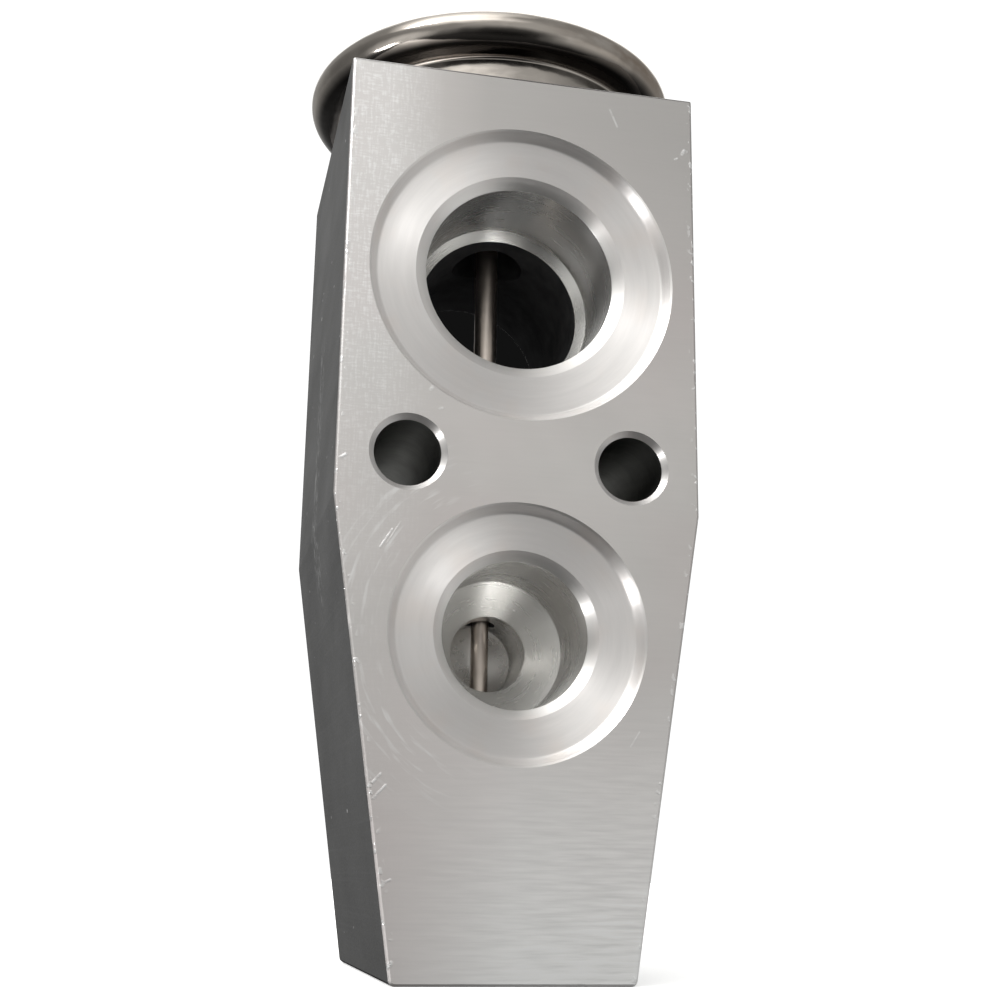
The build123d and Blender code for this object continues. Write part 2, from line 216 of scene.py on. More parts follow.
class ValveSettings(bpy.types.PropertyGroup):
    """Every setting of the valve."""
    block: PointerProperty(type=BlockSizes, name="Block", description="Sizes of the block")
    suction: PointerProperty(type=PortSizes, name="Suction port", description="Sizes of both suction ports")
    outlet: PointerProperty(type=PortSizes, name="Liquid outlet", description="Sizes of the liquid outlet")
    inlet: PointerProperty(type=PortSizes, name="Liquid inlet", description="Sizes of the liquid inlet")
    head: PointerProperty(type=HeadSizes, name="Head", description="Sizes of the head")
    nut: PointerProperty(type=NutSizes, name="Nut", description="Sizes of the adjusting nut")
    spring: PointerProperty(type=SpringSizes, name="Spring", description="Sizes of the valve spring")
    finishes: PointerProperty(type=Finishes, name="Finishes", description="Colours of the materials")
    stage: PointerProperty(type=StageSettings, name="Stage", description="Camera, backdrop and lights")
    seat_depth: length("Seat depth", "Depth of every port's recess", 1.1)
    seat_slant: length("Seat slant", "How much the recess narrows towards its floor", 0.7)
    lead_in_depth: length("Lead-in depth", "Depth of the chamfer at a pipe bore", 0.75)
    rim_break: length("Rim break", "Rounded break at the rim of a recess", 0.14)


def settings():
    """The valve's settings in the open scene."""
    return bpy.context.scene.expansion_valve


def set_ports():
    """Give the three kinds of port their own sizes."""
    valve = settings()
    sizes = {
        "suction": (68.8, 15.6, 10.9, 9.75, 11.8, 8.75, 19.0),
        "outlet": (32.0, 12.55, 8.15, 7.2, 12.2, 3.95, 22.0),
        "inlet": (18.6, 10.6, 6.9, 6.0, 8.6, 3.9, 15.8),
    }
    fields = ("height", "seat", "lead_in", "bore", "bore_end", "passage", "reach")
    for name, values in sizes.items():
        port = getattr(valve, name)
        for field, value in zip(fields, values):
            setattr(port, field, value * MM)


# Shapes

def rounded(points, steps=6):
    """Replace each corner that has a radius, given as a third number, by an arc."""
    result = []
    count = len(points)
    for index, point in enumerate(points):
        here = Vector(point[:2])
        radius = point[2] if len(point) > 2 else 0
        if not radius:
            result.append(here)
            continue
        back = (Vector(points[index - 1][:2]) - here).normalized()
        ahead = (Vector(points[(index + 1) % count][:2]) - here).normalized()
        half = back.angle(ahead) / 2
        middle = here + (back + ahead).normalized() * radius / math.sin(half)
        start = here + back * radius / math.tan(half) - middle
        finish = here + ahead * radius / math.tan(half) - middle
        turn = start.angle_signed(finish)
        for step in range(steps + 1):
            result.append(middle + Matrix.Rotation(-turn * step / steps, 2) @ start)
    return result


def skirt(bm, low, high):
    """Faces between two rings, either of which may be a single point."""
    count = max(len(low), len(high))
    for index in range(count):
        after = (index + 1) % count
        if len(low) == 1:
            bm.faces.new((low[0], high[after], high[index]))
        elif len(high) == 1:
            bm.faces.new((low[index], low[after], high[0]))
        else:
            bm.faces.new((low[index], low[after], high[after], high[index]))


def turned(profile, steps=TURNED_STEPS, placing=None):
    """Closed solid of revolution about Z from (radius, height) points in metres."""
    bm = bmesh.new()
    rings = []
    for radius, height in map(Vector, profile):
        angles = [0] if radius < 1e-8 else [2 * math.pi * step / steps for step in range(steps)]
        rings.append([bm.verts.new((radius * math.cos(a), radius * math.sin(a), height)) for a in angles])
    for low, high in zip(rings, rings[1:] + rings[:1]):
        if len(low) > 1 or len(high) > 1:
            skirt(bm, low, high)
    bmesh.ops.recalc_face_normals(bm, faces=bm.faces)
    if placing:
        bmesh.ops.transform(bm, matrix=placing, verts=bm.verts)
        bmesh.ops.recalc_face_normals(bm, faces=bm.faces)
    return bm


def as_object(name, bm):
    """A new object in the scene from a bmesh, which is freed."""
    mesh = bpy.data.meshes.new(name)
    bm.to_mesh(mesh)
    bm.free()
    made = bpy.data.objects.new(name, mesh)
    bpy.context.scene.collection.objects.link(made)
    return made


def drop(made):
    """Remove a helper object with its mesh."""
    mesh = made.data
    bpy.data.objects.remove(made)
    bpy.data.meshes.remove(mesh)


def evaluated_mesh(made):
    """The mesh of an object with its modifiers applied."""
    bpy.context.view_layer.update()
    graph = bpy.context.evaluated_depsgraph_get()
    return bpy.data.meshes.new_from_object(made.evaluated_get(graph), depsgraph=graph)


def cut(made, cutters):
    """Cut each solid out of an object for good."""
    for index, bm in enumerate(cutters):
        tool = as_object(f"{made.name}_cutter_{index}", bm)
        step = made.modifiers.new("cut", "BOOLEAN")
        step.operation = "DIFFERENCE"
        step.solver = "EXACT"
        step.object = tool
        old = made.data
        made.data = evaluated_mesh(made)
        made.modifiers.clear()
        bpy.data.meshes.remove(old)
        drop(tool)


def finish_mesh(made, smooth_angle=24):
    """Merge doubles, point the faces outwards and smooth all but the sharp edges."""
    bm = bmesh.new()
    bm.from_mesh(made.data)
    bmesh.ops.remove_doubles(bm, verts=bm.verts, dist=2e-7)
    bmesh.ops.recalc_face_normals(bm, faces=bm.faces)
    bm.to_mesh(made.data)
    bm.free()
    made.data.shade_smooth()
    made.data.set_sharp_from_angle(angle=math.radians(smooth_angle))


def half_width(height):
    """Half the block's width at a height."""
    block = settings().block
    share = min(1, height / block.shoulder)
    return (block.base_width + (block.width - block.base_width) * share) / 2


def facing(height, side):
    """Places a cutter on the evaporator face (side -1) or the pipe face (side 1), pointing inwards."""
    x_axis = Vector((-side, 0, 0))
    inwards = Vector((0, -side, 0))
    y_axis = inwards.cross(x_axis)
    turn = Matrix((x_axis, y_axis, inwards)).transposed().to_4x4()
    return Matrix.Translation((0, side * settings().block.depth / 2, height)) @ turn


def shoulder_end(port):
    """Depth where a port's drilled shoulder meets its passage."""
    return port.bore_end + (port.bore - port.passage) / math.tan(SHOULDER_ANGLE)


def port_profile(port):
    """Profile of one port cutter, from outside the face inwards."""
    valve = settings()
    rim = valve.rim_break
    tip = port.reach + port.passage / math.tan(DRILL_ANGLE)
    lead_end = valve.seat_depth + valve.lead_in_depth
    return rounded([
        (0, -MM), (port.seat + rim, -MM), (port.seat + rim, -rim / 50), (port.seat - rim / 2, rim, rim),
        (port.seat - valve.seat_slant, valve.seat_depth, 0.35 * MM),
        (port.lead_in, valve.seat_depth, 0.06 * MM), (port.bore, lead_end, 0.05 * MM),
        (port.bore, port.bore_end), (port.passage, shoulder_end(port), 0.08 * MM),
        (port.passage, port.reach), (0, tip),
    ], 4)


def screw_cutter(side):
    """Cutter of one screw hole, chamfered at both mouths."""
    block = settings().block
    half = block.depth / 2
    mouth = block.screw_hole + block.screw_chamfer
    profile = [
        (0, -half - MM), (mouth, -half - MM), (mouth, -half),
        (block.screw_hole, block.screw_chamfer - half), (block.screw_hole, half - block.screw_chamfer),
        (mouth, half), (mouth, half + MM), (0, half + MM),
    ]
    place = Matrix.Translation((side * block.screw_spacing / 2, 0, block.screw_height))
    return turned(profile, 128, place @ Matrix.Rotation(math.pi / 2, 4, "X"))


def top_cutter():
    """Everything bored from the top of the block."""
    block = settings().block
    axis = settings().suction.height
    return turned([
        (0, block.height + MM), (block.gasket_seat, block.height + MM),
        (block.gasket_seat, block.height - block.gasket_depth),
        (block.head_bore, block.height - block.gasket_depth), (block.head_bore, block.head_floor),
        (block.sensing_hole, block.head_floor), (block.sensing_hole, axis), (block.gland, axis),
        (block.gland, block.gland_floor), (block.guide, block.gland_floor), (block.guide, block.relief_top),
        (0, block.relief_top),
    ])


def bottom_cutter():
    """Everything bored from the base of the block, with the turns of the nut's thread."""
    block = settings().block
    nut = settings().nut
    axis = settings().outlet.height
    cone = block.seat - (block.chamber - block.orifice) / math.tan(DRILL_ANGLE)
    chamfer = 0.5 * MM
    profile = [(0, -MM), (block.thread_bore + chamfer, -MM), (block.thread_bore + chamfer, 0)]
    height = chamfer
    while height + nut.pitch < block.thread_end:
        profile.append((block.thread_bore, height))
        profile.append((block.thread_bore + nut.thread_depth / 2, height + nut.pitch / 2))
        height += nut.pitch
    profile += [
        (block.thread_bore, height), (block.thread_bore, block.thread_end),
        (block.seal_bore, block.thread_end), (block.seal_bore, block.seal_bore_end),
        (block.chamber, block.seal_bore_end), (block.chamber, cone),
        (block.orifice, block.seat), (block.orifice, axis), (block.relief, axis),
        (block.relief, block.relief_top), (0, block.relief_top),
    ]
    return turned(profile)


def block_outline():
    """The extruded outline with fine steps along its straight runs, as (x, z) points with normals."""
    block = settings().block
    corners = [
        (-block.base_width / 2, 0, block.corner), (block.base_width / 2, 0, block.corner),
        (block.width / 2, block.shoulder, block.corner), (block.width / 2, block.height, 0.2 * MM),
        (-block.width / 2, block.height, 0.2 * MM), (-block.width / 2, block.shoulder, block.corner),
    ]
    points = rounded(corners, 5)
    result = []
    for index, point in enumerate(points):
        after = points[(index + 1) % len(points)]
        steps = max(1, round((after - point).length / OUTLINE_STEP))
        for step in range(steps):
            result.append(point.lerp(after, step / steps))
    normals = []
    for index, point in enumerate(result):
        along = (result[(index + 1) % len(result)] - result[index - 1]).normalized()
        normals.append(Vector((along.y, -along.x)))
    return result, normals


def nick_depth(place, scale):
    """How deep the edge is dented at a place: shallow wear everywhere, a few deeper knocks."""
    seed = settings().stage.seed
    wear = noise.noise(place * 900 + Vector((seed, 0, 0)))
    knock = noise.noise(place * 260 + Vector((0, seed, 0)))
    return scale * (0.12 * max(0, wear) + max(0, knock - 0.42) * 1.6)


def block_blank():
    """The bare block with broken and slightly nicked edges."""
    block = settings().block
    outline, normals = block_outline()
    half = block.depth / 2
    knee = block.edge_break * 0.36
    breaks = [(-half, block.edge_break), (-half + knee, knee), (-half + block.edge_break, 0)]
    breaks += [(half - block.edge_break, 0), (half - knee, knee), (half, block.edge_break)]
    bm = bmesh.new()
    rings = []
    for depth, inset in breaks:
        ring = []
        for point, normal in zip(outline, normals):
            place = Vector((point.x, depth, point.y))
            dent = nick_depth(place, block.nick) if inset else 0
            ring.append(bm.verts.new(place - Vector((normal.x, 0, normal.y)) * (inset + dent)))
        rings.append(ring)
    for low, high in zip(rings, rings[1:]):
        skirt(bm, low, high)
    bm.faces.new(rings[0])
    bm.faces.new(rings[-1])
    bmesh.ops.recalc_face_normals(bm, faces=bm.faces)
    return bm


# Materials

class Tree:
    """Short calls for building a node tree. A value may be a number, a colour or another node's output."""

    def __init__(self, tree):
        self.tree = tree

    def node(self, kind, inputs=None, **fields):
        made = self.tree.nodes.new(kind)
        for field, value in fields.items():
            setattr(made, field, value)
        for key, value in (inputs or {}).items():
            self.feed(made.inputs[key], value)
        return made

    def first(self, kind, inputs=None, **fields):
        return self.node(kind, inputs, **fields).outputs[0]

    def feed(self, socket, value):
        if isinstance(value, bpy.types.NodeSocket):
            self.tree.links.new(value, socket)
        else:
            socket.default_value = (*value[:3], 1) if socket.type == "RGBA" else value

    def math(self, operation, *values):
        return self.first("ShaderNodeMath", dict(enumerate(values)), operation=operation)

    def times(self, value, *others):
        for other in others:
            value = self.math("MULTIPLY", value, other)
        return value

    def most(self, value, *others):
        for other in others:
            value = self.math("MAXIMUM", value, other)
        return value

    def plus(self, value, other):
        return self.math("ADD", value, other)

    def minus(self, value, other):
        return self.math("SUBTRACT", value, other)

    def size(self, value):
        return self.math("ABSOLUTE", value)

    def vector(self, operation, *values):
        made = self.node("ShaderNodeVectorMath", dict(enumerate(values)), operation=operation)
        return made.outputs["Value" if operation in {"LENGTH", "DOT_PRODUCT"} else "Vector"]

    def noise(self, place, scale, detail=2.0, roughness=0.5, distortion=0.0):
        inputs = {"Vector": place, "Scale": scale, "Detail": detail, "Roughness": roughness}
        inputs["Distortion"] = distortion
        return self.node("ShaderNodeTexNoise", inputs).outputs["Fac"]

    def ramp(self, value, low, high, start=0.0, end=1.0):
        inputs = {"Value": value, "From Min": low, "From Max": high, "To Min": start, "To Max": end}
        return self.node("ShaderNodeMapRange", inputs, clamp=True).outputs["Result"]

    def spread(self, noise_value, start=0.0, end=1.0):
        """A ramp over the range in which most of a noise lies."""
        return self.ramp(noise_value, 0.3, 0.7, start, end)

    def mix(self, share, first, second, blend="MIX"):
        made = self.node("ShaderNodeMix", data_type="RGBA", blend_type=blend)
        self.feed(made.inputs["Factor"], share)
        for key, value in (("A", first), ("B", second)):
            self.feed(next(s for s in made.inputs if s.name == key and s.type == "RGBA"), value)
        return next(s for s in made.outputs if s.type == "RGBA")

    def place(self, stretch=(1, 1, 1), shift=(0, 0, 0)):
        """Object coordinates in millimetres, shifted and stretched."""
        coordinates = self.node("ShaderNodeTexCoord").outputs["Object"]
        scale = tuple(1000 * s for s in stretch)
        return self.first("ShaderNodeMapping", {"Vector": coordinates, "Location": shift, "Scale": scale})

    def split(self, vector):
        return self.node("ShaderNodeSeparateXYZ", {"Vector": vector}).outputs

    def join(self, x=0.0, y=0.0, z=0.0):
        return self.first("ShaderNodeCombineXYZ", {"X": x, "Y": y, "Z": z})

    def polar(self, across, up):
        """Distance from an axis along Y, and the angle round it."""
        return self.vector("LENGTH", self.join(across, 0.0, up)), self.math("ARCTAN2", up, across)

    def bumps(self, *layers):
        """A normal from layers of (height, strength, distance in millimetres), the first one lowest."""
        normal = None
        for height, strength, distance in layers:
            inputs = {"Height": height, "Strength": strength, "Distance": distance * MM}
            if normal is not None:
                inputs["Normal"] = normal
            normal = self.node("ShaderNodeBump", inputs).outputs["Normal"]
        return normal


def shade(color, *factors):
    """A colour scaled by one factor, or by one for each channel."""
    factors = factors * 3 if len(factors) == 1 else factors
    return tuple(min(1, channel * factor) for channel, factor in zip(color, factors))


def node_of(made, kind):
    """The one node of a kind in a material."""
    return next(n for n in made.node_tree.nodes if n.type == kind)


def material(name, paint, *arguments):
    """A finish by name, made the first time that it is asked for. Paint returns what its shader gets."""
    made = bpy.data.materials.get(name)
    if made is None:
        made = bpy.data.materials.new(name)
        made.use_nodes = True
        tree = Tree(made.node_tree)
        for key, value in paint(tree, *arguments).items():
            tree.feed(node_of(made, "BSDF_PRINCIPLED").inputs[key], value)
    return made


def metal(color, roughness, normal, tangent=None, metallic=1.0, anisotropic=0.0):
    """What the shader of a metal gets."""
    inputs = {
        "Base Color": color, "Roughness": roughness, "Metallic": metallic, "Anisotropic": anisotropic,
        "Normal": normal,
    }
    return inputs if tangent is None else {**inputs, "Tangent": tangent}


def speckle(tree, scale, threshold, stretch=(1, 1, 1), shift=(0, 0, 0)):
    """A mask of small scattered marks."""
    value = tree.noise(tree.place(stretch, shift), scale, 1.0)
    return tree.ramp(value, threshold, threshold + 0.05)


def milled_aluminium(tree):
    """Milled face: satin, with feed ripples low on the right, cutter marks at the left with painted glints on
    a painted sheen, and a few knocks.
    """
    base = settings().finishes.milled
    x, y, z = tree.split(tree.place())
    fine = tree.noise(tree.place((0.05, 0.5, 7.0)), 1.0, 2.0, 0.6)
    cloud = tree.noise(tree.place(), 0.07, 3.0, 0.55)
    tone = tree.noise(tree.place((1, 1, 1), (40, 0, 0)), 0.05)
    color = tree.mix(tree.ramp(cloud, 0.35, 0.65), shade(base, 0.95), shade(base, 1.04))
    color = tree.mix(tree.ramp(tone, 0.35, 0.65), color, shade(base, 1.02, 0.98, 0.985))
    # Zones by height and side, in millimetres: lighter low down, darker at the upper right, feed ripples at
    # the lower right, and a strip at the left with a painted sheen and painted glints on its cutter marks.
    lighter_low = tree.times(tree.ramp(z, 30.0, 1.0), tree.ramp(x, -15.0, 0.0))
    # The film mask only marks a zone that is made darker at the upper right.
    film = tree.times(tree.ramp(z, 56.0, 86.0), tree.ramp(x, -14.0, -4.0))
    rippled = tree.times(tree.ramp(z, 27.0, 7.0), tree.ramp(x, -13.0, 9.0))
    left = tree.times(tree.ramp(x, -8.5, -14.0), tree.ramp(z, 34.0, 68.0, 0.12, 1.0))
    color = tree.mix(lighter_low, color, shade(base, 1.6))
    color = tree.mix(film, color, shade(base, 0.80))
    ripple = tree.noise(tree.place((0.20, 0.0, 2.6)), 1.0)
    waves = tree.plus(tree.times(rippled, 0.9), 0.07)
    swing = tree.times(tree.spread(ripple, -0.11, 0.11), waves)
    color = tree.mix(1.0, color, tree.join(*[tree.plus(1.0, swing)] * 3), "MULTIPLY")
    columns = tree.noise(tree.place((4.2, 0.0, 0.55)), 1.0, 3.0, 0.6)
    rows = tree.noise(tree.place((0.85, 0.0, 4.4)), 1.0, 3.0, 0.6)
    glint = tree.times(tree.ramp(tree.plus(columns, rows), 0.97, 1.30), left)
    # The strip at the left is mixed towards white as a painted sheen, and its cutter marks as painted glints.
    color = tree.mix(tree.times(left, 0.22), color, WHITE)
    color = tree.mix(tree.times(glint, 0.6), color, WHITE)
    edge = tree.minus(block_half_width(tree, z), tree.size(x))
    near = tree.times(tree.ramp(edge, 0.9, 0.1), speckle(tree, 1.6, 0.63))
    marks = tree.most(knocks(tree, x, y, z), tree.times(near, 0.8))
    color = tree.mix(tree.most(marks, polar_scratches(tree, x, z)), color, WHITE)
    rough = tree.minus(tree.spread(fine, 0.36, 0.45), tree.times(marks, 0.12))
    normal = tree.bumps(
        (fine, 0.10, 0.010), (ripple, tree.times(waves, 0.35), 0.03), (glint, 0.25, 0.015),
        (marks, 0.7, 0.04),
    )
    return metal(color, rough, normal, metallic=0.85)


def segment_mark(tree, x, z, start, end, width):
    """A mask round a short straight mark between two (x, z) points in millimetres."""
    start, end = Vector(start), Vector(end)
    along = (end - start).normalized()
    middle = (end + start) / 2
    off_x = tree.minus(x, middle.x)
    off_z = tree.minus(z, middle.y)
    run = tree.plus(tree.times(off_x, along.x), tree.times(off_z, along.y))
    side = tree.plus(tree.times(off_x, -along.y), tree.times(off_z, along.x))
    past = tree.most(tree.minus(tree.size(run), (end - start).length / 2), 0.0)
    return tree.ramp(tree.vector("LENGTH", tree.join(past, side)), width, width * 0.3)


def knocks(tree, x, y, z):
    """The few single scratches and dents of the front face: start, end, width and strength of each."""
    marks = (
        ((9.1, 88.2), (9.9, 86.3), 0.16, 0.35), ((17.0, 84.0), (17.3, 84.5), 0.22, 0.9),
        ((16.2, 83.3), (16.5, 83.5), 0.14, 0.7), ((-17.7, 47.9), (-17.2, 48.2), 0.20, 0.9),
        ((-11.7, 1.5), (-11.3, 2.0), 0.25, 0.9), ((-13.6, 39.4), (-12.5, 41.2), 0.13, 0.75),
        ((-12.9, 39.9), (-11.7, 42.0), 0.10, 0.4), ((-13.4, 16.2), (-12.3, 17.4), 0.16, 0.7),
        ((-13.5, 17.6), (-12.8, 18.4), 0.16, 0.7), ((10.9, 21.6), (11.8, 23.0), 0.10, 0.45),
        ((-9.2, 55.4), (-9.0, 55.7), 0.22, 0.6), ((-8.3, 53.5), (-8.0, 53.6), 0.16, 0.6),
        ((-12.0, 8.9), (-11.6, 9.1), 0.15, 0.6), ((4.6, 29.0), (5.0, 29.6), 0.10, 0.3),
    )
    found = [tree.times(segment_mark(tree, x, z, *mark), strength) for *mark, strength in marks]
    rough = tree.ramp(tree.noise(tree.place(), 2.6), 0.35, 0.6, 0.35, 1.0)
    front = tree.ramp(y, 0.0, -1.0)
    return tree.times(tree.most(*found), rough, front)


def block_half_width(tree, z):
    """Half the block's width at a height, in millimetres, as a node value."""
    block = settings().block
    return tree.ramp(z, 0.0, block.shoulder / MM, block.base_width / 2 / MM, block.width / 2 / MM)


def polar_scratches(tree, x, z):
    """Short bright arcs round the liquid outlet, left by a turning seat cutter."""
    radius, angle = tree.polar(x, tree.minus(z, settings().outlet.height / MM))
    streak = tree.noise(tree.join(tree.times(radius, 1.7), tree.times(angle, 3.6), 3.0), 1.0)
    band = tree.times(tree.ramp(radius, 13.2, 14.2), tree.ramp(radius, 21.0, 16.5))
    side = tree.ramp(tree.size(tree.minus(tree.size(angle), 2.55)), 0.75, 0.35)
    return tree.times(tree.ramp(streak, 0.55, 0.74), tree.times(band, side), 0.5)


def turned_aluminium(tree, height, offset):
    """Turned metal round an axis along Y: rings left by the tool, gloss drawn out across them."""
    base = settings().finishes.turned
    x, y, z = tree.split(tree.place())
    across = tree.minus(x, tree.times(tree.math("SIGN", x), offset / MM))
    up = tree.minus(z, height / MM)
    radius, angle = tree.polar(across, up)
    depth = tree.minus(settings().block.depth / 2 / MM, tree.size(y))
    deep = tree.ramp(depth, 1.2, 2.0)

    def inwards(shallow_value, deep_value):
        return tree.ramp(deep, 0.0, 1.0, shallow_value, deep_value)

    along = tree.times(tree.minus(radius, tree.times(depth, 0.8)), 0.9)
    turn = tree.join(tree.math("COSINE", angle), tree.math("SINE", angle), along)
    broad = tree.noise(turn, 0.9, 3.0, 0.7)
    fine = tree.noise(tree.vector("MULTIPLY", turn, (0.8, 0.8, 10.0)), 1.0, 2.0, 0.6)
    stain = tree.noise(tree.place(), 0.22)
    color = tree.mix(tree.spread(broad), shade(base, 0.93), shade(base, 1.05))
    color = tree.mix(tree.ramp(stain, 0.5, 0.7, 0.0, 0.35), color, shade(base, 1.0, 0.94, 0.9))
    color = tree.mix(deep, color, shade(base, 0.955, 0.972, 0.965))
    rough = tree.spread(broad, inwards(0.35, 0.26), inwards(0.45, 0.28))
    normal = tree.bumps((fine, inwards(0.15, 0.0), 0.005), (broad, inwards(0.2, 0.0), 0.010))
    round_axis = tree.join(tree.times(up, -1.0), 0.0, across)
    facing_way = tree.node("ShaderNodeNewGeometry").outputs["Normal"]
    tangent = tree.vector("NORMALIZE", tree.vector("CROSS_PRODUCT", round_axis, facing_way))
    return metal(color, rough, normal, tangent, 0.9, 0.88)


def shaded_passage_black(tree):
    """Deep passages and bores, painted near black as shade."""
    base = settings().finishes.bored
    rings = tree.noise(tree.place((0.3, 6.0, 0.3)), 1.0)
    smear = tree.noise(tree.place(), 0.35, 3.0, 0.6)
    color = tree.mix(tree.spread(smear), shade(base, 0.6), base)
    rough = tree.spread(smear, 0.4, 0.6)
    return {**metal(color, rough, tree.bumps((rings, 0.2, 0.01)), metallic=0.0), "Specular IOR Level": 0.0}


def extruded_aluminium(tree):
    """Dark extruded sides: faint die lines from front to back, dust, rubs and small bright chips; the dark
    colour is partly painted shade, and more so towards the base.
    """
    base = settings().finishes.extruded
    x, y, z = tree.split(tree.place())
    die = tree.noise(tree.place((1.0, 0.015, 2.4)), 1.0, 3.0, 0.6)
    grain = tree.noise(tree.place(), 5.0, 2.0, 0.6)
    cloud = tree.noise(tree.place((1, 0.5, 1)), 0.12, 3.0, 0.6)
    color = tree.mix(tree.spread(cloud), shade(base, 0.78), shade(base, 1.25))
    # Darker towards the base: painted shade.
    color = tree.mix(tree.ramp(z, 48.0, 4.0, 0.0, 0.6), color, shade(base, 0.6))
    color = tree.mix(tree.times(tree.ramp(die, 0.5, 0.75), 0.15), color, shade(base, 1.9))
    rub = tree.noise(tree.place((1.0, 1.7, 0.8)), 0.95, 4.0, 0.7, 0.3)
    beside = tree.ramp(tree.size(y), 3.4, 1.4)
    halfway = tree.ramp(tree.size(tree.minus(z, 51.5)), 17.0, 12.0)
    trail = tree.times(beside, halfway, tree.ramp(x, 0.0, -1.0))
    scuff = tree.times(tree.ramp(rub, 0.50, 0.72), trail)
    color = tree.mix(tree.times(scuff, 0.8), color, (0.55, 0.55, 0.55))
    chips = speckle(tree, 0.75, 0.775, (1, 0.55, 1.3), (3.0, 1.0, 7.0))
    color = tree.mix(chips, color, (0.6, 0.6, 0.6))
    normal = tree.bumps((grain, 0.12, 0.01), (die, 0.15, 0.02))
    return metal(color, tree.spread(grain, 0.5, 0.64), normal, metallic=0.75)


def stainless_steel(tree):
    """Pressed stainless sheet: lines round the axis, soft dents, heat tint beside the weld and painted shade
    under the flange.
    """
    finishes = settings().finishes
    head = settings().head
    x, y, z = tree.split(tree.place())
    radius = tree.vector("LENGTH", tree.join(x, y))
    lines = tree.noise(tree.join(tree.times(radius, 5.0), tree.times(z, 5.0)), 1.0)
    dents = tree.noise(tree.place((1, 1, 1.6)), 0.22)
    smoke = tree.noise(tree.place((1, 1, 2.5)), 0.16, 3.0, 0.6)
    seam = (head.flange_top + head.cover_under) / 2 / MM
    # The brown beside the weld is full on the right side and fades to a trace on the left.
    tinted = tree.times(
        tree.ramp(tree.size(tree.minus(z, seam)), 2.2, 0.2), tree.ramp(radius, 15.0, 18.0),
        tree.ramp(smoke, 0.3, 0.6, 0.35, 1.0), tree.ramp(x, 1.0, 15.0, 0.12, 1.0),
    )
    color = tree.mix(tinted, finishes.stainless, finishes.heat)
    color = tree.mix(tree.ramp(smoke, 0.5, 0.75), color, shade(finishes.stainless, 1.25))
    under = head.flange_under / MM
    body = head.body / MM
    underside_shade = tree.times(tree.ramp(z, under + 0.9, under + 0.15), tree.ramp(radius, body + 0.1, body + 0.7))
    # The flange's underside next to the body is painted near black as shade.
    color = tree.mix(underside_shade, color, (0.035, 0.032, 0.03))
    normal = tree.bumps((dents, 0.35, 0.25), (lines, 0.12, 0.006))
    return metal(color, tree.spread(smoke, 0.11, 0.19), normal)


def plain_metal(tree, color, roughness, stretch=(1, 1, 1), scale=1.2, bump=0.01):
    """A small steel or brass piece: uneven gloss and tool marks drawn out along one way."""
    marks = tree.noise(tree.place(stretch), scale, 3.0, 0.6)
    cloud = tree.noise(tree.place(), 0.3)
    mottled = tree.mix(tree.spread(cloud), shade(color, 0.82), shade(color, 1.12))
    rough = tree.spread(marks, roughness * 0.8, roughness * 1.25)
    return metal(mottled, rough, tree.bumps((marks, 0.25, bump)))


def moulded_rubber(tree):
    """Matt moulded rubber with a trace of oil."""
    base = settings().finishes.rubber
    grain = tree.noise(tree.place(), 6.0, 3.0)
    film = tree.noise(tree.place(), 0.4)
    color = tree.mix(tree.spread(film), base, shade(base, 1.8))
    return metal(color, tree.spread(film, 0.35, 0.6), tree.bumps((grain, 0.2, 0.01)), metallic=0.0)


def give(piece, *materials):
    """Replace all material slots of an object's mesh."""
    piece.data.materials.clear()
    for item in materials:
        piece.data.materials.append(item)


def dress_nodes(finish, *names):
    """Give nodes of the CAD model a better material."""
    for name in names:
        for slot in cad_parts[name].material_slots:
            slot.material = finish


def settle(piece, body, slot, *nodes):
    """Hand a finished piece to the frame in place of the nodes it stands for."""
    if not piece.data.polygons:
        raise RuntimeError(f"{piece.name} came out empty")
    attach(piece, body)
    if nodes:
        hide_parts(*nodes)


# Repeated shapes as geometry nodes

def coil_tree(name, sides):
    """A node group that sweeps a small section along a spiral, with named inputs."""
    group = bpy.data.node_groups.new(name, "GeometryNodeTree")
    group.interface.new_socket("Geometry", in_out="OUTPUT", socket_type="NodeSocketGeometry")
    for label in ("Radius", "Height", "Turns", "Section"):
        group.interface.new_socket(label, in_out="INPUT", socket_type="NodeSocketFloat")
    group.interface.new_socket("Finish", in_out="INPUT", socket_type="NodeSocketMaterial")
    tree = Tree(group)
    given = tree.node("NodeGroupInput").outputs
    spiral = tree.first("GeometryNodeCurveSpiral", {
        "Resolution": 64, "Rotations": given["Turns"], "Start Radius": given["Radius"],
        "End Radius": given["Radius"], "Height": given["Height"],
    })
    circle = {"Resolution": sides, "Radius": given["Section"]}
    section = tree.first("GeometryNodeCurvePrimitiveCircle", circle)
    sweep = {"Curve": spiral, "Profile Curve": section, "Fill Caps": True}
    swept = tree.first("GeometryNodeCurveToMesh", sweep)
    smooth = tree.first("GeometryNodeSetShadeSmooth", {"Geometry": swept})
    real = tree.first("GeometryNodeRealizeInstances", {"Geometry": smooth})
    finish = tree.first("GeometryNodeSetMaterial", {"Geometry": real, "Material": given["Finish"]})
    tree.node("NodeGroupOutput", {"Geometry": finish})
    return group


def grown(name, group, values):
    """A plain mesh object from a node group with these input values."""
    holder = bpy.data.objects.new(name, bpy.data.meshes.new(name))
    bpy.context.scene.collection.objects.link(holder)
    modifier = holder.modifiers.new("grow", "NODES")
    modifier.node_group = group
    for item in group.interface.items_tree:
        if item.in_out == "INPUT":
            modifier[item.identifier] = values[item.name]
    mesh = evaluated_mesh(holder)
    holder.modifiers.clear()
    old = holder.data
    holder.data = mesh
    bpy.data.meshes.remove(old)
    return holder


def join(piece, other):
    """Add another object's mesh to a piece and remove that object."""
    bm = bmesh.new()
    bm.from_mesh(piece.data)
    bm.from_mesh(other.data)
    bm.to_mesh(piece.data)
    bm.free()
    drop(other)


# Pieces

